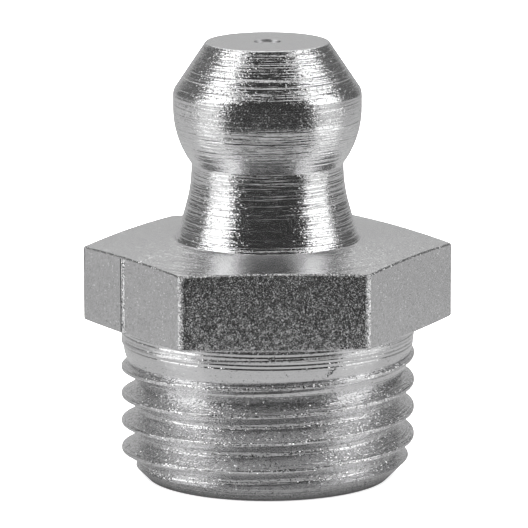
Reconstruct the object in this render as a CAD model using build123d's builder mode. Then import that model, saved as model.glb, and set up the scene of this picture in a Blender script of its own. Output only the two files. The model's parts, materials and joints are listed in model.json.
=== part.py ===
from build123d import *
import os
from math import ceil, cos, radians, sin, sqrt, tan

# Straight hydraulic grease nipple with a parallel 1/8-27 pipe thread.
# The steel body is turned from hexagon bar. A ball under the rolled-over head closes the inlet,
# and a compression spring that stands on the chamber's floor pushes it up against its seat.
# Origin: middle of the thread's end face. +Z runs up through the hexagon to the head. Millimetres.

# Thread, external, right hand
thread_radius = 5.0  # over the crests
thread_pitch = 25.4 / 27
thread_length = 5.39  # from the end face to the hexagon's seat
thread_chamfer = 0.86  # at the end, 45 degrees
plain_length = 0.44  # full diameter, between the run-out and the hexagon
feather_length = 0.7  # upper part of the run-out, where the groove is only a shallow mark
feather_depth = 0.12  # at the foot of that part
runout_length = 1.08  # lower part of the run-out, down to the groove's full depth
groove_lead = 0.97  # pitches below the end face at which the groove starts, over +X
flank_angle = 30  # degrees, from a plane square to the axis
crest_share = 1 / 8  # width of the crest's flat, in pitches
depth_share = 0.58  # depth of the groove, in pitches

# Hexagon
across_flats = 10.9
hexagon_height = 2.53  # at the corners
corner_rounding = 0.25
edge_break = 0.04  # along the upper and lower edges of the flats
seat_inset = 0.1  # from the flats in to the flat ring under the hexagon
underside_bevel = 3.0  # degrees, outside the seat
top_bevel = 4.75  # degrees, from the neck out to the corners

# Collar and neck, upwards from the hexagon
collar_height = 0.2
collar_angle = 45  # degrees, from the axis
neck_cone_height = 0.97
neck_angle = 15.75  # degrees, from the axis
neck_arc_radius = 4.95
neck_land = 0.1  # straight part under the head
neck_radius = 2.59

# Head, which the coupler's jaws grip
head_radius = 3.205  # also the radius of its spherical underside
band_height = 0.58
head_cone_height = 1.66
top_radius = 2.095
band_rounding = 0.45  # between the band and the cone
rim_bevel = 0.04  # round the top face

# Valve
chamber_radius = 1.175
ball_clearance = 0.175  # grease passes round the ball here
ball_travel = 2.0
seat_angle = 59  # degrees, from the axis
seat_overlap = 0.065  # how far the seat closes in past the ball's contact circle
seat_gap = 0.01
crown_recess = 0.016  # from the top face down to the ball's crown

# Spring
wire_radius = 0.125
wire_sides = 6  # the round wire is drawn as this many flats, with their corners on its surface
spring_clearance = 0.225  # between the coils and the chamber's wall
active_coils = 6
closed_pitch = 0.265  # of the closed coil at each end
solid_spare = 0.25  # left between the coils at the end of the ball's travel
spring_gap = 0.01  # at the ball and at the floor

# Passage from the chamber to the end face
passage_ledge = 0.05  # floor that shows inside the coils
countersink = 0.35  # at the end face, 45 degrees

overshoot = 0.1  # how far a cutting shape stands out past the metal


# Hexagon, neck and head: radii and heights that follow
corner_radius = across_flats / sqrt(3) - corner_rounding * (2 / sqrt(3) - 1)
seat_radius = across_flats / 2 - seat_inset
corner_bottom = thread_length + (corner_radius - seat_radius) * tan(radians(underside_bevel))
corner_top = corner_bottom + hexagon_height
arc_height = neck_arc_radius * sin(radians(neck_angle))
arc_foot_radius = neck_radius + neck_arc_radius * (1 - cos(radians(neck_angle)))
cone_foot_radius = arc_foot_radius + neck_cone_height * tan(radians(neck_angle))
collar_radius = cone_foot_radius + collar_height * tan(radians(collar_angle))
collar_foot = corner_top + (corner_radius - collar_radius) * tan(radians(top_bevel))
cone_foot = collar_foot + collar_height
arc_foot = cone_foot + neck_cone_height
land_foot = arc_foot + arc_height
land_top = land_foot + neck_land
band_foot = land_top + sqrt(head_radius**2 - neck_radius**2)
band_top = band_foot + band_height
head_top = band_top + head_cone_height

# Valve: the ball's place follows from the top face, the seat's from the ball
ball_radius = chamber_radius - ball_clearance
ball_height = head_top - crown_recess - ball_radius
contact_radius = ball_radius * cos(radians(seat_angle))
contact_height = ball_height + ball_radius * sin(radians(seat_angle)) + seat_gap
inlet_radius = contact_radius - seat_overlap
seat_top = contact_height + seat_overlap / tan(radians(seat_angle))
seat_foot = contact_height - (chamber_radius - contact_radius) / tan(radians(seat_angle))

# Spring: its top coil lies against the ball, and its length leaves the ball its travel
coil_radius = chamber_radius - spring_clearance - wire_radius
solid_rise = (active_coils + 2) * 2 * wire_radius
spring_rise = solid_rise + ball_travel + solid_spare
spring_top = ball_height - spring_gap - sqrt((ball_radius + wire_radius) ** 2 - coil_radius**2)
spring_foot = spring_top - spring_rise
active_pitch = (spring_rise - 2 * closed_pitch) / active_coils
chamber_floor = spring_foot - wire_radius - spring_gap
passage_radius = coil_radius - wire_radius - passage_ledge

# Thread: the groove is a trapezium between the flanks, wider where it stands out past the crests
groove_depth = depth_share * thread_pitch
crest_half_width = (1 - crest_share) * thread_pitch / 2
root_half_width = crest_half_width - groove_depth * tan(radians(flank_angle))
mouth_half_width = crest_half_width + overshoot * tan(radians(flank_angle))
root_radius = thread_radius - groove_depth
mouth_radius = thread_radius + overshoot
groove_start = -groove_lead * thread_pitch

# Run-out: its outline starts inside the groove's floor and goes on past the crests
runout_top = thread_length - plain_length
feather_foot = runout_top - feather_length
runout_foot = feather_foot - runout_length
floor_radius = root_radius - overshoot
floor_height = runout_foot - overshoot * runout_length / (groove_depth - feather_depth)
runout_end = runout_top + (mouth_radius + overshoot - thread_radius) * feather_length / feather_depth
groove_turns = ceil((runout_top - groove_start) / thread_pitch + 0.5)


def groove_turn(height):
    """One turn of the thread's groove, from this height over +X, kept out of the run-out."""
    with BuildPart() as turn:
        with BuildLine() as path:
            Helix(thread_pitch, thread_pitch, thread_radius, center=(0, 0, height))
        with BuildSketch(Plane.XZ):
            with BuildLine():
                Polyline(
                    (mouth_radius, height - mouth_half_width),
                    (root_radius, height - root_half_width),
                    (root_radius, height + root_half_width),
                    (mouth_radius, height + mouth_half_width),
                    close=True,
                )
            make_face()
        sweep(path=path.line, is_frenet=True)
        with BuildSketch(Plane.XZ):
            with BuildLine():
                Polyline(
                    (0, floor_height),
                    (floor_radius, floor_height),
                    (thread_radius - feather_depth, feather_foot),
                    (thread_radius, runout_top),
                    (mouth_radius + overshoot, runout_end),
                    (mouth_radius + overshoot, runout_end + thread_pitch),
                    (0, runout_end + thread_pitch),
                    close=True,
                )
            make_face()
        revolve(axis=Axis.Z, mode=Mode.SUBTRACT)
    return turn.part


groove = [groove_turn(groove_start + count * thread_pitch) for count in range(groove_turns)]

# Shank: chamfered at the end, threaded turn by turn up to the plain part under the hexagon
with BuildPart() as shank:
    with BuildSketch():
        Circle(thread_radius)
    extrude(amount=thread_length)
    chamfer(shank.edges().sort_by(Axis.Z)[0], thread_chamfer)
    for turn in groove:
        add(turn, mode=Mode.SUBTRACT)

# Hexagon: bar stock, faced to a shallow cone above and to a flat seat with a shallow cone below
with BuildPart() as hexagon:
    with BuildSketch(Plane.XY.offset(thread_length)):
        RegularPolygon(across_flats / 2, 6, major_radius=False)
    extrude(amount=collar_foot - thread_length)
    fillet(hexagon.edges().filter_by(Axis.Z), corner_rounding)
    with BuildSketch(Plane.XZ):
        with BuildLine():
            Polyline(
                (0, thread_length),
                (seat_radius, thread_length),
                (corner_radius, corner_bottom),
                (corner_radius, corner_top),
                (collar_radius, collar_foot),
                (0, collar_foot),
                close=True,
            )
        make_face()
    revolve(axis=Axis.Z, mode=Mode.INTERSECT)
    upper_cone, lower_cone = hexagon.faces().filter_by(GeomType.CONE).sort_by(Axis.Z, reverse=True)
    chamfer(upper_cone.outer_wire().edges() + lower_cone.outer_wire().edges(), edge_break)

# Neck and head: one turned outline from the top face down to the hexagon
with BuildPart() as head:
    with BuildSketch(Plane.XZ):
        with BuildLine():
            Polyline((0, head_top), (top_radius, head_top), (head_radius, band_top), (head_radius, band_foot))
            TangentArc((head_radius, band_foot), (neck_radius, land_top), tangent=(0, -1))
            Line((neck_radius, land_top), (neck_radius, land_foot))
            TangentArc((neck_radius, land_foot), (arc_foot_radius, arc_foot), tangent=(0, -1))
            Polyline(
                (arc_foot_radius, arc_foot),
                (cone_foot_radius, cone_foot),
                (collar_radius, collar_foot),
                (0, collar_foot),
                (0, head_top),
            )
        make_face()
    revolve(axis=Axis.Z)
    fillet(head.edges().filter_by_position(Axis.Z, band_top, band_top), band_rounding)
    chamfer(head.edges().filter_by_position(Axis.Z, head_top, head_top), rim_bevel)

# Body: the three forms as one piece, with the bore through it from the inlet to the end face
with BuildPart() as body:
    add(shank.part)
    add(hexagon.part)
    add(head.part)
    with BuildSketch(Plane.XZ):
        with BuildLine():
            Polyline(
                (0, head_top + overshoot),
                (inlet_radius, head_top + overshoot),
                (inlet_radius, seat_top),
                (chamber_radius, seat_foot),
                (chamber_radius, chamber_floor),
                (passage_radius, chamber_floor),
                (passage_radius, countersink),
                (passage_radius + countersink + overshoot, -overshoot),
                (0, -overshoot),
                close=True,
            )
        make_face()
    revolve(axis=Axis.Z, mode=Mode.SUBTRACT)

# Check ball
with BuildPart() as check_ball:
    with Locations((0, 0, ball_height)):
        Sphere(ball_radius)

# Valve spring: a closed coil at each end and open coils between them
with BuildPart() as valve_spring:
    coil_foot = spring_foot
    for pitch, turns in ((closed_pitch, 1), (active_pitch, active_coils), (closed_pitch, 1)):
        with BuildLine() as coil:
            Helix(pitch, pitch * turns, coil_radius, center=(0, 0, coil_foot))
        with BuildSketch(Plane.XZ):
            with Locations((coil_radius, coil_foot)):
                RegularPolygon(wire_radius, wire_sides)
        sweep(path=coil.line, is_frenet=True)
        coil_foot += pitch * turns

os.makedirs("parts", exist_ok=True)
body.part.label = "body"
export_step(body.part, "parts/body.step")
check_ball.part.label = "check_ball"
export_step(check_ball.part, "parts/check_ball.step")
valve_spring.part.label = "valve_spring"
export_step(valve_spring.part, "parts/valve_spring.step")
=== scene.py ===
import json
from math import atan2, cos, degrees, hypot, pi, radians, sin, sqrt, tan

import bpy
from mathutils import Matrix, Vector

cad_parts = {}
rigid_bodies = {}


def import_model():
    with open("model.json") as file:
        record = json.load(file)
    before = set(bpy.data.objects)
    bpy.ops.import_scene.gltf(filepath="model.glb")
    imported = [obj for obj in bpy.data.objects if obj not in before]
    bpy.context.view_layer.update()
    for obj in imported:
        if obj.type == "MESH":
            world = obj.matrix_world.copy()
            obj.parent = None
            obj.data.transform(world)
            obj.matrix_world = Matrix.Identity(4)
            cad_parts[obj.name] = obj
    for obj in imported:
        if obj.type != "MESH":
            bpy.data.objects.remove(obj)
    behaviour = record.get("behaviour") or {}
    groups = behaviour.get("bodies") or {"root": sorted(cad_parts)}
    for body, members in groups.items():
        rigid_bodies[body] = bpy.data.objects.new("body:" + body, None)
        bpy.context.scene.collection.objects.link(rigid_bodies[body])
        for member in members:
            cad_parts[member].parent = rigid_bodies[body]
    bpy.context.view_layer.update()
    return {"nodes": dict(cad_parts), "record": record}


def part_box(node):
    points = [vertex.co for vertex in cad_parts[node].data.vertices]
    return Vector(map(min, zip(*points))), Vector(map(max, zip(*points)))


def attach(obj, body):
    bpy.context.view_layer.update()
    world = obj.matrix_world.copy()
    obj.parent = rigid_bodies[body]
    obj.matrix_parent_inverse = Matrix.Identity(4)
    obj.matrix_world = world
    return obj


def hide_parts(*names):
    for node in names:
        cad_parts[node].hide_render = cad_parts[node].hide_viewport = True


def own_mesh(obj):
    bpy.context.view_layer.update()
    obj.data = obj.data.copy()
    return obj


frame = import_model()
print("frame loaded:", ", ".join(sorted(frame["nodes"])))

mm = 0.001
mergeDistance = 1e-8  # metres
cutTolerance = 1e-9  # metres
filletSteps = 4
mounts = {mount["name"]: mount for mount in frame["record"]["mounts"]}
joints = {joint["name"]: joint for joint in frame["record"]["behaviour"]["joints"]}
bodyLow, bodyHigh = (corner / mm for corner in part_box("body"))
ballLow, ballHigh = (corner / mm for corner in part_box("check_ball"))
springLow, springHigh = (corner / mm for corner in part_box("valve_spring"))


# Outlines are drawn vertex by vertex in the XZ plane, in millimetres, as (radius, height)

def makeActive(*pieces):
    if bpy.context.object and bpy.context.object.mode != "OBJECT":
        bpy.ops.object.mode_set(mode="OBJECT")
    bpy.ops.object.select_all(action="DESELECT")
    for piece in pieces:
        piece.select_set(True)
        bpy.context.view_layer.objects.active = piece


def arcPoints(centre, radius, start, end, steps):
    turns = (radians(start + (end - start) * i / steps) for i in range(steps + 1))
    return [(centre[0] + radius * cos(turn), centre[1] + radius * sin(turn)) for turn in turns]


def roundCorner(before, corner, after, radius, steps=filletSteps):
    into = (Vector(corner) - Vector(before)).normalized()
    away = (Vector(after) - Vector(corner)).normalized()
    turn = into.angle_signed(away)  # negative is anticlockwise
    reach = radius * tan(abs(turn) / 2)
    side = 1 if turn < 0 else -1
    first = Vector(corner) - into * reach
    centre = first + Vector((-into.y, into.x)) * radius * side
    start = degrees(atan2(first.y - centre.y, first.x - centre.x))
    return arcPoints(centre, radius, start, start + side * degrees(abs(turn)), steps)


def drawOutline(name, points):
    makeActive()
    bpy.ops.mesh.primitive_plane_add(size=mm)
    piece = bpy.context.object
    piece.name = piece.data.name = name
    bpy.ops.object.mode_set(mode="EDIT")
    bpy.ops.mesh.merge(type="CENTER")
    bpy.ops.transform.translate(value=(points[0][0] * mm, 0, points[0][1] * mm))
    for (r0, z0), (r1, z1) in zip(points, points[1:]):
        step = ((r1 - r0) * mm, 0, (z1 - z0) * mm)
        bpy.ops.mesh.extrude_region_move(TRANSFORM_OT_translate={"value": step})
    bpy.ops.object.mode_set(mode="OBJECT")
    return piece


def tidyMesh(piece):
    makeActive(piece)
    bpy.ops.object.mode_set(mode="EDIT")
    bpy.ops.mesh.select_all(action="SELECT")
    bpy.ops.mesh.remove_doubles(threshold=mergeDistance)
    bpy.ops.mesh.normals_make_consistent(inside=False)
    bpy.ops.object.mode_set(mode="OBJECT")


def turnOutline(name, points, steps):
    piece = drawOutline(name, points)
    bpy.ops.object.mode_set(mode="EDIT")
    bpy.ops.mesh.select_all(action="SELECT")
    bpy.ops.mesh.spin(steps=steps, angle=2 * pi, center=(0, 0, 0), axis=(0, 0, 1))
    tidyMesh(piece)
    return piece


def applyModifier(piece, kind, **values):
    makeActive(piece)
    modifier = piece.modifiers.new(kind.lower(), kind)
    for key, value in values.items():
        setattr(modifier, key, value)
    bpy.ops.object.modifier_apply(modifier=modifier.name)


def combine(piece, tool, operation):
    applyModifier(piece, "BOOLEAN", operation=operation, object=tool, solver="EXACT")
    bpy.data.objects.remove(tool)
    tidyMesh(piece)


def cutLevel(piece, height, keepAbove):
    makeActive(piece)
    bpy.ops.object.mode_set(mode="EDIT")
    bpy.ops.mesh.select_all(action="SELECT")
    bpy.ops.mesh.bisect(plane_co=(0, 0, height * mm), plane_no=(0, 0, 1), use_fill=True,
                        clear_inner=keepAbove, clear_outer=not keepAbove, threshold=cutTolerance)
    bpy.ops.object.mode_set(mode="OBJECT")


# Body: turned blank, hexagon bar, threaded shank and bore

body = {
    "turnSteps": 240,  # round the axis
    "smoothAngle": 18,  # degrees, past which an edge between two faces stays sharp
    "acrossFlats": bodyHigh.y - bodyLow.y,
    "acrossCorners": bodyHigh.x - bodyLow.x,
    "barSpare": 1,  # the hexagon bar is longer than the body by this much at each end
    "cornerProfile": 0.30,  # 0.25 is a flat strip and 0.5 a round one
    "cornerSegments": 4,
    "seamFacing": 210,  # degrees from +X, the flat that has the seam
    "seamShare": 0.42,  # of the flat's width, from its left corner
    # each line of the seam's section, along the flat from the seam's middle and outward
    "seamProfile": ((-0.12, 0), (-0.08, 0.05), (0.04, 0), (0.05, -0.03), (0.12, 0)),
    "hexagonHeight": 2.53,  # at the corners
    "edgeBreak": 0.05,
    "sideReach": 5.2,  # what stands upright further from the axis than this is a side of the hexagon
    "sideTilt": 0.01,  # the most that the normal of such a side rises or falls
    "seatInset": 0.1,
    "undersideBevel": 3.0,  # degrees, out to the corners
    "topBevel": 4.75,
    "discSpare": 0.3,  # the turned disc stands out past the hexagon's corners by this much
    "collarHeight": 0.2,
    "collarReach": 0.2,
    "collarLedge": (0.02, 0.01),  # out and down, the step at the top of the collar
    "collarAngle": 28,  # degrees from the axis
    "collarFillet": 0.06,
    "neckConeHeight": 0.97,
    "neckAngle": 15.75,
    "neckArcRadius": 4.95,
    "neckArcSteps": 14,
    "neckLand": 0.1,  # the straight part under the head
    "neckRadius": 2.59,
    "underHeadFillet": 0.15,
    "underHeadSteps": 30,
    "headRadius": mounts["coupler_head"]["dims"]["r_mm"],
    "bandHeight": 0.58,
    "bandRounding": 0.45,
    "bandSteps": 8,
    "headConeHeight": 1.66,
    "topRadius": 2.095,
    "rimBevel": 0.025,
    "headTop": bodyHigh.z,
}
thread = {
    "radius": mounts["thread"]["dims"]["r_mm"],
    "length": mounts["thread"]["dims"]["length_mm"],
    "pitch": 25.4 / 27,
    "lead": 0.97,  # pitches below the end face at which the groove starts, over +X
    "flankAngle": 30,
    "crestShare": 1 / 8,
    "depthShare": 0.58,
    "crestRounding": 0.035,
    "rootRounding": 0.05,
    "roundingSteps": 3,
    "rodTurns": 8,  # enough to reach past the plain part
    "chamfer": 0.86,
    "chamferSpare": (0.3, 0.05),  # the form that cuts it stands out past the crests and the end face
    "chamferTop": 9,  # past the rod's upper end
    "chamferSteps": 224,  # unlike the rod's own, so that their edges don't lie on each other
    "plainLength": 0.40,
    "seatFillet": 0.06,
    "proud": 0.002,  # the plain part stands out past the threaded rod by this much
    "runoutRadius": 4.0,  # the groove's floor comes out to the surface along this arc
    "runoutLean": 4.57,  # degrees from the axis, where the arc starts
    "runoutSteps": 20,
    "feedMark": 0.136,  # one turn of the tool, on the plain part and the start of the run-out
    # each mark's depth, and how much of it leans down before it comes back out
    "feedMarks": ((0.006, 0.80), (0.012, 0.60), (0.006, 0.80), (0.016, 0.60), (0.018, 0.60)),
    "coreInset": 0.1,  # the blank's core lies this far inside the groove's floor
    "coreFoot": 1.2,
    # each nick's degrees from the front, height, nearest place to the axis and radius
    "nicks": ((21.5, 4.40, 4.85, 0.09), (22.9, 4.49, 4.86, 0.10), (24.2, 4.60, 4.89, 0.08),
              (34.0, 1.05, 4.60, 0.07)),
    "nickSides": 16,
}
bore = {
    "inletRadius": 0.45,
    "chamberRadius": 1.175,
    "seatAngle": 59,
    "seatTop": 14.849,
    "chamberFloor": 8.783,
    "passageRadius": mounts["grease_outlet"]["dims"]["r_mm"],
    "countersink": 0.35,
    "overshoot": 0.2,
    "steps": 96,
}


def hexagonHeights():
    cornerRadius = body["acrossCorners"] / 2
    seatRadius = body["acrossFlats"] / 2 - body["seatInset"]
    bottom = thread["length"] + (cornerRadius - seatRadius) * tan(radians(body["undersideBevel"]))
    return cornerRadius, seatRadius, bottom, bottom + body["hexagonHeight"]


def headOutline():
    # from the axis out over the top face and down to the collar's foot
    top, radius = body["headTop"], body["headRadius"]
    bandTop = top - body["headConeHeight"]
    bandFoot = bandTop - body["bandHeight"]
    bevel = body["rimBevel"]
    rim = (body["topRadius"], top)
    shoulder = (radius, bandTop)
    coneLean = atan2(radius - rim[0], body["headConeHeight"])
    points = [(0, top), (rim[0] - bevel, top)]
    points += [(rim[0] + bevel * sin(coneLean), top - bevel * cos(coneLean))]
    points += roundCorner(rim, shoulder, (radius, bandFoot), body["bandRounding"], body["bandSteps"])
    neck, fillet = body["neckRadius"], body["underHeadFillet"]
    drop = sqrt((radius + fillet) ** 2 - (neck + fillet) ** 2)
    underAngle = degrees(atan2(drop, neck + fillet))
    points += arcPoints((0, bandFoot), radius, 0, -underAngle, body["underHeadSteps"])
    points += arcPoints((neck + fillet, bandFoot - drop), fillet, 180 - underAngle, 180, filletSteps)[1:]
    landFoot = bandFoot - sqrt(radius ** 2 - neck ** 2) - body["neckLand"]
    arcRadius, angle = body["neckArcRadius"], body["neckAngle"]
    points += arcPoints((neck + arcRadius, landFoot), arcRadius, 180, 180 + angle, body["neckArcSteps"])
    arcFoot = points[-1]
    coneRun = body["neckConeHeight"] * tan(radians(angle))
    coneFoot = (arcFoot[0] + coneRun, arcFoot[1] - body["neckConeHeight"])
    points += [coneFoot]
    out, down = body["collarLedge"]
    ledge = (coneFoot[0] + out, coneFoot[1] - down)
    rise, slope = tan(radians(body["topBevel"])), 1 / tan(radians(body["collarAngle"]))
    run = (body["collarHeight"] - down - (body["collarReach"] - out) * rise) / (slope - rise)
    foot = (ledge[0] + run, ledge[1] - run * slope)
    further = (foot[0] + 1, foot[1] - rise)  # on the hexagon's top, for its slope alone
    return points + [ledge] + roundCorner(ledge, foot, further, body["collarFillet"])


def shankOutline(seatRadius):
    # from the hexagon's seat down the plain part, with its feed marks, and along the run-out's arc
    land, seat = thread["radius"] + thread["proud"], thread["length"]
    runoutTop = seat - thread["plainLength"]
    lean, arcRadius = radians(thread["runoutLean"]), thread["runoutRadius"]
    centre = (thread["radius"] - arcRadius * cos(lean), runoutTop + arcRadius * sin(lean))

    def surface(height):
        if height >= runoutTop:
            return land
        return centre[0] + sqrt(arcRadius ** 2 - (centre[1] - height) ** 2)

    points = roundCorner((seatRadius, seat), (land, seat), (land, runoutTop), thread["seatFillet"])
    height = points[-1][1]
    for depth, share in thread["feedMarks"]:
        foot = height - thread["feedMark"] * share
        points += [(surface(foot) - depth, foot)]
        height -= thread["feedMark"]
        points += [(surface(height), height)]
    core = thread["radius"] - thread["depthShare"] * thread["pitch"] - thread["coreInset"]
    drop = sqrt(arcRadius ** 2 - (core - centre[0]) ** 2)
    start, end = (degrees(atan2(place - centre[1], surface(place) - centre[0]))
                  for place in (height, centre[1] - drop))
    points += arcPoints(centre, arcRadius, start, end, thread["runoutSteps"])[1:]
    return points + [(core, thread["coreFoot"]), (0, thread["coreFoot"])]


def turnedBlank():
    cornerRadius, seatRadius, cornerBottom, cornerTop = hexagonHeights()
    spare = body["discSpare"]
    points = headOutline()
    points += [(cornerRadius + spare, cornerTop - spare * tan(radians(body["topBevel"])))]
    points += [(cornerRadius + spare, cornerBottom + spare * tan(radians(body["undersideBevel"])))]
    points += [(seatRadius, thread["length"])]
    points += shankOutline(seatRadius)
    return turnOutline("body_steel", points, body["turnSteps"])


def hexagonBar():
    sharpCorner = body["acrossFlats"] / sqrt(3)
    high = body["headTop"] + 2 * body["barSpare"]
    middle = high / 2 - body["barSpare"]
    makeActive()
    bpy.ops.mesh.primitive_cylinder_add(vertices=6, radius=sharpCorner * mm, depth=high * mm,
                                        location=(0, 0, middle * mm), rotation=(0, 0, radians(30)))
    bar = bpy.context.object
    bpy.ops.object.transform_apply(location=True, rotation=True, scale=True)
    bpy.ops.object.mode_set(mode="EDIT")
    bpy.ops.mesh.select_all(action="DESELECT")
    bpy.ops.object.mode_set(mode="OBJECT")
    for edge in bar.data.edges:
        ends = [bar.data.vertices[i].co for i in edge.vertices]
        edge.select = abs(ends[0].z - ends[1].z) > mm
    offset = (sharpCorner - body["acrossCorners"] / 2) / (1 - sqrt(body["cornerProfile"]))
    bpy.ops.object.mode_set(mode="EDIT")
    bpy.ops.mesh.bevel(offset=offset * mm, segments=body["cornerSegments"], offset_type="OFFSET",
                       profile=body["cornerProfile"])
    raiseSeam(bar)
    bpy.ops.object.mode_set(mode="OBJECT")
    return bar


def raiseSeam(bar):
    # the drawn bar's seam, an upright ridge with a groove beside it on the flat at the front left
    turned = radians(body["seamFacing"])
    facing = Vector((cos(turned), sin(turned), 0))
    along = Vector((-facing.y, facing.x, 0))
    middle = (body["seamShare"] - 0.5) * body["acrossFlats"] / sqrt(3)
    lines = [((middle + offset) * mm, rise) for offset, rise in body["seamProfile"]]
    for place, _ in lines:
        bpy.ops.object.mode_set(mode="OBJECT")
        for face in bar.data.polygons:
            face.select = face.normal.dot(facing) > 0.9
        bpy.ops.object.mode_set(mode="EDIT")
        bpy.ops.mesh.select_mode(type="FACE")
        bpy.ops.mesh.bisect(plane_co=along * place, plane_no=along, threshold=cutTolerance)
    for place, rise in lines:
        bpy.ops.mesh.select_mode(type="VERT")
        bpy.ops.mesh.select_all(action="DESELECT")
        bpy.ops.object.mode_set(mode="OBJECT")
        for vertex in bar.data.vertices:
            isOnLine = abs(vertex.co.dot(along) - place) < mergeDistance
            vertex.select = isOnLine and vertex.co.dot(facing) > mm
        bpy.ops.object.mode_set(mode="EDIT")
        bpy.ops.transform.translate(value=facing * rise * mm)


def breakHexagonEdges(piece):
    # each edge that has a side of the hexagon on one hand only
    makeActive(piece)
    bpy.ops.object.mode_set(mode="EDIT")
    bpy.ops.mesh.select_all(action="DESELECT")
    bpy.ops.object.mode_set(mode="OBJECT")
    edgeSides = {}
    for face in piece.data.polygons:
        reach = hypot(face.center.x, face.center.y) / mm
        isSide = abs(face.normal.z) < body["sideTilt"] and reach > body["sideReach"]
        for key in face.edge_keys:
            edgeSides.setdefault(key, []).append(isSide)
    chosen = {key for key, sides in edgeSides.items() if len(sides) == 2 and sides[0] != sides[1]}
    for edge in piece.data.edges:
        edge.select = edge.key in chosen
    bpy.ops.object.mode_set(mode="EDIT")
    bpy.ops.mesh.bevel(offset=body["edgeBreak"] * mm, segments=1, offset_type="OFFSET")
    bpy.ops.object.mode_set(mode="OBJECT")


def threadedRod():
    pitch, radius = thread["pitch"], thread["radius"]
    depth = thread["depthShare"] * pitch
    crestHalf = thread["crestShare"] * pitch / 2
    rootHalf = pitch / 2 - crestHalf - depth * tan(radians(thread["flankAngle"]))
    root, crest, middle = radius - depth, radius, pitch / 2
    corners = [(root, 0), (root, rootHalf), (crest, middle - crestHalf), (crest, middle + crestHalf),
               (root, pitch - rootHalf), (root, pitch)]
    inner, outer = thread["rootRounding"], thread["crestRounding"]
    points = corners[:1]
    for i, rounding in enumerate((inner, outer, outer, inner)):
        points += roundCorner(*corners[i:i + 3], rounding, thread["roundingSteps"])
    points += corners[-1:]
    start = -(thread["lead"] + 1) * pitch
    rod = drawOutline("threaded_rod", [(r, start + z) for r, z in points])
    applyModifier(rod, "SCREW", axis="Z", angle=2 * pi, screw_offset=pitch * mm,
                  iterations=thread["rodTurns"], steps=body["turnSteps"], render_steps=body["turnSteps"],
                  use_merge_vertices=False)
    tidyMesh(rod)
    cutLevel(rod, 0, True)
    cutLevel(rod, thread["length"] - thread["plainLength"] / 2, False)
    tidyMesh(rod)
    combine(rod, chamferForm(), "INTERSECT")
    return rod


def chamferForm():
    radius, chamfer, top = thread["radius"], thread["chamfer"], thread["chamferTop"]
    out, below = thread["chamferSpare"]
    points = [(0, -below), (radius - chamfer - below, -below), (radius + out, chamfer + out),
              (radius + out, top), (0, top)]
    return turnOutline("chamfer_form", points, thread["chamferSteps"])


def cutNick(steel, turned, height, reach, size):
    # a small round-bottomed mark, of which a few together make the burr torn at the run-out
    away, sides = (reach + size) * mm, thread["nickSides"]
    makeActive()
    bpy.ops.mesh.primitive_uv_sphere_add(segments=sides, ring_count=sides // 2, radius=size * mm)
    form = bpy.context.object
    form.location = (away * sin(radians(turned)), -away * cos(radians(turned)), height * mm)
    bpy.ops.object.transform_apply(location=True, rotation=True, scale=True)
    combine(steel, form, "DIFFERENCE")


def boreForm():
    over, seatRise = bore["overshoot"], 1 / tan(radians(bore["seatAngle"]))
    seatFoot = bore["seatTop"] - (bore["chamberRadius"] - bore["inletRadius"]) * seatRise
    points = [(0, body["headTop"] + over), (bore["inletRadius"], body["headTop"] + over),
              (bore["inletRadius"], bore["seatTop"]), (bore["chamberRadius"], seatFoot),
              (bore["chamberRadius"], bore["chamberFloor"]), (bore["passageRadius"], bore["chamberFloor"]),
              (bore["passageRadius"], bore["countersink"]),
              (bore["passageRadius"] + bore["countersink"] + over, -over), (0, -over)]
    return turnOutline("bore_form", points, bore["steps"])


def makeBody():
    steel = turnedBlank()
    combine(steel, hexagonBar(), "INTERSECT")
    combine(steel, threadedRod(), "UNION")
    for nick in thread["nicks"]:
        cutNick(steel, *nick)
    combine(steel, boreForm(), "DIFFERENCE")
    breakHexagonEdges(steel)
    makeActive(steel)
    bpy.ops.object.shade_smooth_by_angle(angle=radians(body["smoothAngle"]))
    applyModifier(steel, "WEIGHTED_NORMAL", mode="FACE_AREA", keep_sharp=True)
    print("body:", len(steel.data.polygons), "faces")
    return steel


# Finishes: rings (across, along, height), grooves (across, along, depth) and facets (size, slope, contrast),
# in millimetres, add up to one bump; at a high contrast few facets are tilted and most lie flat

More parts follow.
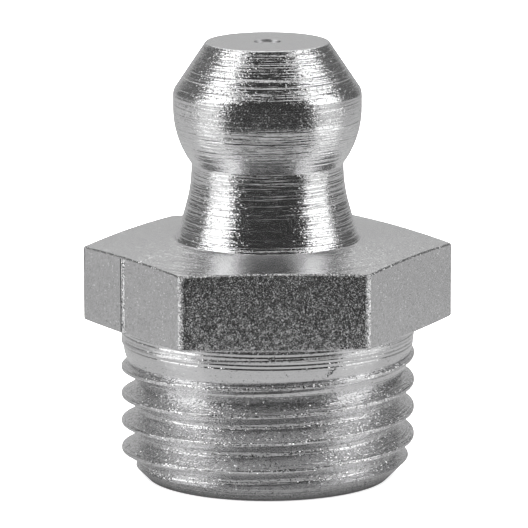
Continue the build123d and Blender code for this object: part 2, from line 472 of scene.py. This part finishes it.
finish = {
    "steelColor": (0.77, 0.77, 0.775, 1),
    "ballColor": (0.72, 0.72, 0.73, 1),
    "springColor": (0.6, 0.6, 0.61, 1),
    "filterWidth": 0.02,  # of the bump, in pixels
    "grooveNoise": (0.58, 0.75),  # where a groove starts, and where it is full
    "headCone": {"roughness": 0.22, "rings": ((0.32, 8.0, 0.038), (0.085, 3.0, 0.028), (0.045, 0.6, 0.017)),
                 "facets": ((0.034, 0.6, 2),), "grooves": (0.16, 25.0, 0.018)},
    "band": {"roughness": 0.22, "rings": ((0.32, 8.0, 0.018), (0.085, 3.0, 0.018)),
             "facets": ((0.034, 0.5, 2),), "grooves": (0.20, 25.0, 0.012)},
    "turned": {"roughness": 0.18, "rings": ((0.32, 8.0, 0.038), (0.08, 3.0, 0.036), (0.045, 0.6, 0.016)),
               "facets": ((0.030, 0.45, 2),), "grooves": (0.20, 25.0, 0.018)},
    "headFace": {"roughness": 0.24, "rings": ((0.05, 1.0, 0.003),), "facets": ((0.05, 0.25, 4),)},
    "hexagonTop": {"roughness": 0.24, "rings": ((0.25, 8.0, 0.020), (0.06, 4.0, 0.012), (0.7, 1.0, 0.030)),
                   "facets": ((0.04, 0.6, 3),)},
    "flats": {"roughness": 0.15, "rings": (), "facets": ((0.026, 0.68, 4), (0.09, 0.12, 1))},
    "corner": {"roughness": 0.26, "rings": (), "facets": ((0.034, 1.1, 1),)},
    "land": {"roughness": 0.15, "rings": ((0.07, 4.0, 0.012),), "facets": ((0.030, 0.6, 3),)},
    "thread": {"roughness": 0.20, "rings": ((0.10, 4.0, 0.028), (0.045, 2.0, 0.018)),
               "facets": ((0.037, 1.25, 2),)},
    "bore": {"roughness": 0.4, "rings": ((0.08, 3.0, 0.030),), "facets": ((0.05, 0.5, 2),)},
    "ball": {"roughness": 0.12, "rings": (), "facets": ((0.10, 0.03, 1),)},
    "wire": {"roughness": 0.3, "rings": (), "facets": ((0.04, 0.4, 2),)},
}


def addNode(tree, kind, settings=None, **sockets):
    made = tree.nodes.new(kind)
    for key, value in (settings or {}).items():
        setattr(made, key, value)
    for key, value in sockets.items():
        made.inputs[key.replace("_", " ")].default_value = value
    return made


def calculate(tree, operation, *values):
    made = addNode(tree, "ShaderNodeMath", {"operation": operation})
    for socket, value in zip(made.inputs, values):
        if isinstance(value, (int, float)):
            socket.default_value = value
        else:
            tree.links.new(value, socket)
    return made.outputs[0]


def makeRamp(tree, value, stops):
    # stops are (place from 0 to 1, brightness)
    ramp = addNode(tree, "ShaderNodeValToRGB")
    elements = ramp.color_ramp.elements
    while len(elements) < len(stops):
        elements.new(0.5)
    for element, (place, shade) in zip(elements, stops):
        element.position = place
        element.color = (shade, shade, shade, 1)
    tree.links.new(value, ramp.inputs["Fac"])
    return ramp.outputs["Color"]


def blendColors(tree, share, first, second):
    made = addNode(tree, "ShaderNodeMix", {"data_type": "RGBA"})
    tree.links.new(share, made.inputs["Factor"])
    tree.links.new(first, made.inputs["A"])
    tree.links.new(second, made.inputs["B"])
    return made.outputs["Result"]


def placeOnPiece(tree):
    # the point's x, y and z and its distance from the axis, in millimetres
    scaled = addNode(tree, "ShaderNodeVectorMath", {"operation": "SCALE"}, Scale=1 / mm)
    tree.links.new(addNode(tree, "ShaderNodeTexCoord").outputs["Object"], scaled.inputs[0])
    split = addNode(tree, "ShaderNodeSeparateXYZ")
    tree.links.new(scaled.outputs[0], split.inputs[0])
    x, y, z = split.outputs
    squares = calculate(tree, "ADD", calculate(tree, "MULTIPLY", x, x), calculate(tree, "MULTIPLY", y, y))
    return {"x": x, "y": y, "z": z, "radius": calculate(tree, "SQRT", squares), "point": scaled.outputs[0]}


def ringNoise(tree, place, across, along):
    # lines that run round the axis: narrow across, long along, and different from one line to the next
    vector = addNode(tree, "ShaderNodeCombineXYZ")
    values, sizes = (place["radius"], place["z"], place["x"]), (across, across, along)
    for socket, value, size in zip(vector.inputs, values, sizes):
        tree.links.new(calculate(tree, "DIVIDE", value, size), socket)
    noise = addNode(tree, "ShaderNodeTexNoise", {"noise_dimensions": "4D"}, Scale=1, Detail=1)
    tree.links.new(vector.outputs[0], noise.inputs["Vector"])
    tree.links.new(calculate(tree, "DIVIDE", place["y"], along), noise.inputs["W"])
    return noise.outputs["Fac"]


def grooveHeight(tree, place, across, along, depth):
    # a few separate lines, where the noise rises past most of itself
    raised = addNode(tree, "ShaderNodeMapRange")
    tree.links.new(ringNoise(tree, place, across, along), raised.inputs["Value"])
    raised.inputs["From Min"].default_value, raised.inputs["From Max"].default_value = finish["grooveNoise"]
    return calculate(tree, "MULTIPLY", raised.outputs["Result"], -depth)


def facetHeight(tree, place, size, slope, contrast):
    # a grain of small cells, each one tilted its own way and by its own share of the slope
    cells = addNode(tree, "ShaderNodeTexVoronoi", Scale=1 / size)
    tree.links.new(place["point"], cells.inputs["Vector"])
    tilt = addNode(tree, "ShaderNodeVectorMath", {"operation": "SUBTRACT"})
    tree.links.new(cells.outputs["Color"], tilt.inputs[0])
    tilt.inputs[1].default_value = (0.5, 0.5, 0.5)
    arm = addNode(tree, "ShaderNodeVectorMath", {"operation": "SUBTRACT"})
    tree.links.new(place["point"], arm.inputs[0])
    tree.links.new(cells.outputs["Position"], arm.inputs[1])
    rise = addNode(tree, "ShaderNodeVectorMath", {"operation": "DOT_PRODUCT"})
    tree.links.new(tilt.outputs[0], rise.inputs[0])
    tree.links.new(arm.outputs[0], rise.inputs[1])
    parts = addNode(tree, "ShaderNodeSeparateXYZ")
    tree.links.new(cells.outputs["Color"], parts.inputs[0])
    # 17 times the cell's red, less its whole part, is a number that its tilt doesn't show
    chance = calculate(tree, "FRACT", calculate(tree, "MULTIPLY", parts.outputs["X"], 17))
    share = calculate(tree, "MULTIPLY", calculate(tree, "POWER", chance, contrast), slope)
    return calculate(tree, "MULTIPLY", rise.outputs["Value"], share)


def steelFinish(name, color):
    values = finish[name]
    material = bpy.data.materials.new(name + "_steel")
    material.use_nodes = True
    tree = material.node_tree
    shader = tree.nodes["Principled BSDF"]
    shader.inputs["Metallic"].default_value = 1
    shader.inputs["Base Color"].default_value = color
    shader.inputs["Roughness"].default_value = values["roughness"]
    place = placeOnPiece(tree)
    heights = [calculate(tree, "MULTIPLY", ringNoise(tree, place, across, along), height)
               for across, along, height in values["rings"]]
    heights += [facetHeight(tree, place, *facet) for facet in values["facets"]]
    if "grooves" in values:
        heights.append(grooveHeight(tree, place, *values["grooves"]))
    total = heights[0]
    for height in heights[1:]:
        total = calculate(tree, "ADD", total, height)
    bump = addNode(tree, "ShaderNodeBump", Strength=1, Distance=mm, Filter_Width=finish["filterWidth"])
    tree.links.new(total, bump.inputs["Height"])
    tree.links.new(bump.outputs["Normal"], shader.inputs["Normal"])
    return material


# Zones: each part of the body's surface has a finish of its own

zones = ("headCone", "band", "turned", "headFace", "hexagonTop", "flats", "corner", "land", "thread", "bore")
zoneLimits = {
    "slack": 0.01,  # as all heights and radii, in millimetres
    "boreSlack": 0.05,
    "level": 0.99,  # the normal of a level face rises or falls by more than this
    "upright": 0.1,  # and that of an upright one by less than this
    "edgeBreak": (0.3, 0.9),  # between these it is one of the hexagon's broken edges
    "flatTurn": 2,  # degrees either side of the way that a flat faces
    "topRise": 0.2,  # the hexagon's top is within this height above its corners
    "topLevel": 0.98,
    "coneFoot": 0.42,  # the cone's finish starts this far above the band's top
    "bandFoot": 0.36,  # the band's ends this far below its foot
    "landFoot": 0.5,  # the land's ends this far below the plain part, apart from the run-out's surface
    "runoutSlack": 0.004,  # how near the run-out's arc a face has to lie
}


def isRunout(radius, height):
    lean, arcRadius = radians(thread["runoutLean"]), thread["runoutRadius"]
    centreRadius = thread["radius"] - arcRadius * cos(lean)
    centreHeight = thread["length"] - thread["plainLength"] + arcRadius * sin(lean)
    reach = arcRadius ** 2 - (centreHeight - height) ** 2
    return reach > 0 and abs(centreRadius + sqrt(reach) - radius) < zoneLimits["runoutSlack"]


def hexagonZone(normal):
    if abs(normal.z) < zoneLimits["upright"]:
        turned = degrees(atan2(normal.y, normal.x)) - 30  # a whole number of sixths of a turn on a flat
        return "flats" if abs(turned - 60 * round(turned / 60)) < zoneLimits["flatTurn"] else "corner"
    low, high = zoneLimits["edgeBreak"]
    if low < abs(normal.z) < high:
        return "corner"
    return "hexagonTop" if normal.z > 0 else "land"


def zoneOf(face):
    # which finish a face of the body takes, from its place and the way it faces
    normal, slack, level = face.normal, zoneLimits["slack"], zoneLimits["level"]
    radius, height = hypot(face.center.x, face.center.y) / mm, face.center.z / mm
    cornerRadius, seatRadius, cornerBottom, cornerTop = hexagonHeights()
    facesAxis = normal.x * face.center.x + normal.y * face.center.y < 0
    if normal.z < -level and height < slack:
        return "land"
    if normal.z > level and height > body["headTop"] - slack:
        return "headFace"
    isInside = facesAxis or height < bore["chamberFloor"]
    if isInside and radius < bore["chamberRadius"] + zoneLimits["boreSlack"]:
        return "bore"
    if radius > seatRadius - slack and thread["length"] < height < cornerTop + zoneLimits["topRise"]:
        return hexagonZone(normal)
    bandTop = body["headTop"] - body["headConeHeight"]
    if height > bandTop + zoneLimits["coneFoot"]:
        return "headCone"
    if height > bandTop - body["bandHeight"] - zoneLimits["bandFoot"]:
        return "band"
    if height > cornerTop:
        return "turned" if normal.z < zoneLimits["topLevel"] else "hexagonTop"
    landFoot = thread["length"] - thread["plainLength"] - zoneLimits["landFoot"]
    return "land" if height > landFoot or isRunout(radius, height) else "thread"


def paintBody(steel):
    steel.data.materials.clear()
    for zone in zones:
        steel.data.materials.append(steelFinish(zone, finish["steelColor"]))
    for face in steel.data.polygons:
        face.material_index = zones.index(zoneOf(face))
    print("body painted:", len(zones), "finishes")


steel = makeBody()
paintBody(steel)
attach(steel, "nipple")
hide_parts("body")


# Check ball, which shows in the hole of the top face

ball = {
    "radius": (ballHigh.x - ballLow.x) / 2,
    "height": (ballHigh.z + ballLow.z) / 2,
    "steps": 96,  # round the axis, and half as many from top to bottom
}


def makeBall():
    points = arcPoints((0, ball["height"]), ball["radius"], 90, -90, ball["steps"] // 2)
    piece = turnOutline("ball_steel", points, ball["steps"])
    bpy.ops.object.shade_smooth()
    piece.data.materials.append(steelFinish("ball", finish["ballColor"]))
    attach(piece, "ball")
    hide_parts("check_ball")
    print("ball:", len(piece.data.polygons), "faces")


makeBall()


# Valve spring, which holds the ball against its seat

spring = {
    "travel": joints["ball_travel"]["range_m"][1] / mm,
    "wireRadius": 0.125,
    "wireSides": 16,
    "coilRadius": 0.825,
    "closedPitch": 0.265,  # of the closed coil at each end
    "activeCoils": 6,
    "stepsPerTurn": 48,
    "smoothAngle": 40,
}


def wireCoil(name, foot, pitch, turns):
    sides, centre = spring["wireSides"], (spring["coilRadius"], foot)
    coil = drawOutline(name, arcPoints(centre, spring["wireRadius"], 0, 360 - 360 / sides, sides - 1))
    bpy.ops.object.mode_set(mode="EDIT")
    bpy.ops.mesh.select_all(action="SELECT")
    bpy.ops.mesh.edge_face_add()
    bpy.ops.mesh.delete(type="ONLY_FACE")
    bpy.ops.object.mode_set(mode="OBJECT")
    steps = spring["stepsPerTurn"]
    applyModifier(coil, "SCREW", axis="Z", angle=2 * pi, screw_offset=pitch * mm, iterations=turns,
                  steps=steps, render_steps=steps, use_merge_vertices=False)
    return coil


def makeSpring():
    foot, top = springLow.z + spring["wireRadius"], springHigh.z - spring["wireRadius"]
    closed, active = spring["closedPitch"], spring["activeCoils"]
    openPitch = (top - foot - 2 * closed) / active
    coils = [wireCoil("spring_wire", foot, closed, 1),
             wireCoil("open_coils", foot + closed, openPitch, active),
             wireCoil("top_coil", top - closed, closed, 1)]
    makeActive(*reversed(coils))
    bpy.ops.object.join()
    piece = coils[0]
    tidyMesh(piece)
    bpy.ops.object.mode_set(mode="EDIT")
    bpy.ops.mesh.select_all(action="DESELECT")
    bpy.ops.mesh.select_mode(type="EDGE")
    bpy.ops.mesh.select_non_manifold()
    bpy.ops.mesh.fill_holes(sides=spring["wireSides"])
    bpy.ops.mesh.select_all(action="SELECT")
    bpy.ops.mesh.normals_make_consistent(inside=False)
    bpy.ops.object.mode_set(mode="OBJECT")
    bpy.ops.object.shade_smooth_by_angle(angle=radians(spring["smoothAngle"]))
    piece.data.materials.append(steelFinish("wire", finish["springColor"]))
    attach(piece, "nipple")
    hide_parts("valve_spring")
    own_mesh(piece)
    print("spring:", len(piece.data.polygons), "faces")


makeSpring()


# Studio: a pale floor, and round it a room with a dark front, a tall bright window on each side and a grey
# back; levels are (degrees above the horizon, brightness), and on the card of painted floor light and shadow
# (mm from the axis, brightness)

studio = {
    "floorRadius": 1.5,  # metres, as all that isn't said to be otherwise
    "floorShade": 0.9,
    "floorRoughness": 0.9,
    "floorGlow": 0.7,
    "discSides": 96,
    # the card is a glowing disc of painted light and shadow that stands in for the floor in the steel's
    # reflections
    "cardRadius": 0.046,  # the part of the floor that the steel mirrors
    "cardHeight": 2e-6,
    # painted glow: dark within 4.7 mm of the axis for a painted contact shadow, painted patches of window
    # light out at the windows' sides, darker far out in front
    "cardFront": ((4.1, 0.07), (4.7, 0.46), (5.6, 0.52), (7, 0.60), (23, 0.58), (27, 0.10), (34, 0.04),
                  (46, 0.03)),
    "cardWindow": ((4.1, 0.09), (4.7, 0.42), (5.6, 0.44), (7, 0.60), (14, 0.58), (18, 0.66), (22, 0.68),
                   (25, 0.9), (28, 1.8), (42, 1.7), (46, 0.8)),
    "cardSide": ((4.1, 0.09), (4.7, 0.42), (5.6, 0.44), (7, 0.60), (20, 0.64), (32, 0.66), (36, 0.57),
                 (46, 0.57)),
    "cardRoughness": 0.2,
    "cardIndex": 1.5,
    "lampSize": 1.6,
    "lampPower": 60,
    "lampHeight": 1.0,
    "windowTurns": (56, 59, 94, 99),  # degrees from the front, where each window starts and ends
    "backTurns": (146, 154),
    "rightDimmer": 0.08,  # the right is darker by this share, and the left brighter
    "frontLevels": ((-90, 0.03), (73, 0.03), (79, 1.1), (90, 0.9)),
    "windowLevels": ((-90, 0.55), (-40, 0.7), (-25, 0.72), (-8, 0.60), (2, 0.72), (9, 1.5), (15, 2.2),
                     (40, 2.1), (52, 1.35), (66, 1.1), (76, 0.9), (90, 0.9)),
    "sideLevels": ((-90, 0.58), (-10, 0.56), (2, 0.12), (62, 0.12), (76, 0.9), (90, 0.9)),
    "backLevels": ((-90, 0.50), (28, 0.49), (42, 1.6), (54, 1.6), (62, 0.75), (90, 0.8)),
}


def turnFromFront(tree, split):
    # how far a direction is turned from the front, 0 at the front and 1 at the back, the same on both sides
    across = calculate(tree, "ABSOLUTE", split.outputs["X"])
    forward = calculate(tree, "MULTIPLY", split.outputs["Y"], -1)
    return calculate(tree, "DIVIDE", calculate(tree, "ARCTAN2", across, forward), pi)


def acrossRoom(tree, turn, front, window, side):
    start, full, fade, end = (turned / 180 for turned in studio["windowTurns"])
    color = blendColors(tree, makeRamp(tree, turn, [(start, 0), (full, 1)]), front, window)
    return blendColors(tree, makeRamp(tree, turn, [(fade, 0), (end, 1)]), color, side)


def makeRoom():
    world = bpy.data.worlds.new("studio_room")
    bpy.context.scene.world = world
    world.use_nodes = True
    tree = world.node_tree
    split = addNode(tree, "ShaderNodeSeparateXYZ")
    tree.links.new(addNode(tree, "ShaderNodeTexCoord").outputs["Generated"], split.inputs[0])
    turn = turnFromFront(tree, split)
    elevation = calculate(tree, "ARCSINE", split.outputs["Z"])
    level = calculate(tree, "ADD", calculate(tree, "DIVIDE", elevation, pi), 0.5)

    def levels(name):
        return makeRamp(tree, level, [(rise / 180 + 0.5, shade) for rise, shade in studio[name]])

    color = acrossRoom(tree, turn, levels("frontLevels"), levels("windowLevels"), levels("sideLevels"))
    backStart, backFull = (turned / 180 for turned in studio["backTurns"])
    behind = makeRamp(tree, turn, [(backStart, 0), (backFull, 1)])
    color = blendColors(tree, behind, color, levels("backLevels"))
    tree.links.new(color, tree.nodes["Background"].inputs["Color"])
    balance = calculate(tree, "MULTIPLY", split.outputs["X"], -studio["rightDimmer"])
    tree.links.new(calculate(tree, "ADD", balance, 1), tree.nodes["Background"].inputs["Strength"])


def makeDisc(name, radius, height, material):
    makeActive()
    bpy.ops.mesh.primitive_circle_add(vertices=studio["discSides"], radius=radius, fill_type="NGON",
                                      location=(0, 0, height))
    disc = bpy.context.object
    disc.name = name
    disc.data.materials.append(material)
    return disc


def floorMaterial():
    shade = studio["floorShade"]
    material = bpy.data.materials.new("pale_floor")
    material.use_nodes = True
    shader = material.node_tree.nodes["Principled BSDF"]
    shader.inputs["Base Color"].default_value = (shade, shade, shade, 1)
    shader.inputs["Roughness"].default_value = studio["floorRoughness"]
    shader.inputs["Specular IOR Level"].default_value = 0
    shader.inputs["Emission Color"].default_value = (1, 1, 1, 1)
    shader.inputs["Emission Strength"].default_value = studio["floorGlow"]
    return material


def cardMaterial():
    # a glow by distance from the axis that paints the floor's light and shade, with a painted contact shadow
    # near the axis, under a thin gloss that mirrors the windows at a grazing angle
    material = bpy.data.materials.new("floor_card")
    material.use_nodes = True
    tree = material.node_tree
    tree.nodes.remove(tree.nodes["Principled BSDF"])
    place = addNode(tree, "ShaderNodeTexCoord").outputs["Object"]
    reach = addNode(tree, "ShaderNodeVectorMath", {"operation": "LENGTH"})
    tree.links.new(place, reach.inputs[0])
    edge = studio["cardRadius"]
    share = calculate(tree, "DIVIDE", reach.outputs["Value"], edge)
    split = addNode(tree, "ShaderNodeSeparateXYZ")
    tree.links.new(place, split.inputs[0])

    def levels(name):
        return makeRamp(tree, share, [(radius * mm / edge, shade) for radius, shade in studio[name]])

    glow = addNode(tree, "ShaderNodeEmission")
    turn = turnFromFront(tree, split)
    color = acrossRoom(tree, turn, levels("cardFront"), levels("cardWindow"), levels("cardSide"))
    tree.links.new(color, glow.inputs["Color"])
    gloss = addNode(tree, "ShaderNodeBsdfGlossy", Roughness=studio["cardRoughness"])
    mixed = addNode(tree, "ShaderNodeMixShader")
    tree.links.new(addNode(tree, "ShaderNodeFresnel", IOR=studio["cardIndex"]).outputs[0], mixed.inputs[0])
    tree.links.new(glow.outputs[0], mixed.inputs[1])
    tree.links.new(gloss.outputs[0], mixed.inputs[2])
    tree.links.new(mixed.outputs[0], tree.nodes["Material Output"].inputs["Surface"])
    return material


def makeFloor():
    floor = makeDisc("floor", studio["floorRadius"], 0, floorMaterial())
    floor.visible_glossy = False
    card = makeDisc("floor_card", studio["cardRadius"], studio["cardHeight"], cardMaterial())
    # the painted glow is hidden from the camera, diffuse light and shadows; only the steel mirrors it
    card.visible_camera = card.visible_diffuse = card.visible_shadow = False
    light = bpy.data.lights.new("floor_lamp", "AREA")
    light.size = studio["lampSize"]
    light.energy = studio["lampPower"]
    lamp = bpy.data.objects.new("floor_lamp", light)
    lamp.location = (0, 0, studio["lampHeight"])
    lamp.visible_glossy = False
    bpy.context.scene.collection.objects.link(lamp)


view = {
    "turn": -2.33,  # degrees from the front, negative is to the left
    "elevation": 11.27,
    "roll": -0.09,
    "aimHeight": 0.007295,  # metres, as the next two
    "aimLeft": 0.000124,
    "distance": 0.2084,
    "lens": 417.78,
    "sensorWidth": 36,
    "clip": (0.01, 10),
}


def makeCamera():
    turn, tilt, roll = radians(view["turn"]), radians(90 - view["elevation"]), radians(view["roll"])
    toWorld = Matrix.Rotation(turn, 3, "Z") @ Matrix.Rotation(tilt, 3, "X") @ Matrix.Rotation(roll, 3, "Z")
    right = Vector((cos(turn), sin(turn), 0))
    aim = Vector((0, 0, view["aimHeight"])) - view["aimLeft"] * right
    camera = bpy.data.objects.new("camera", bpy.data.cameras.new("camera"))
    bpy.context.scene.collection.objects.link(camera)
    camera.data.lens, camera.data.sensor_width = view["lens"], view["sensorWidth"]
    camera.data.clip_start, camera.data.clip_end = view["clip"]
    camera.rotation_euler = toWorld.to_euler()
    camera.location = aim + view["distance"] * (toWorld @ Vector((0, 0, 1)))
    bpy.context.scene.camera = camera


makeRoom()
makeFloor()
makeCamera()
bpy.context.scene.view_settings.view_transform = "Standard"
print("studio ready")
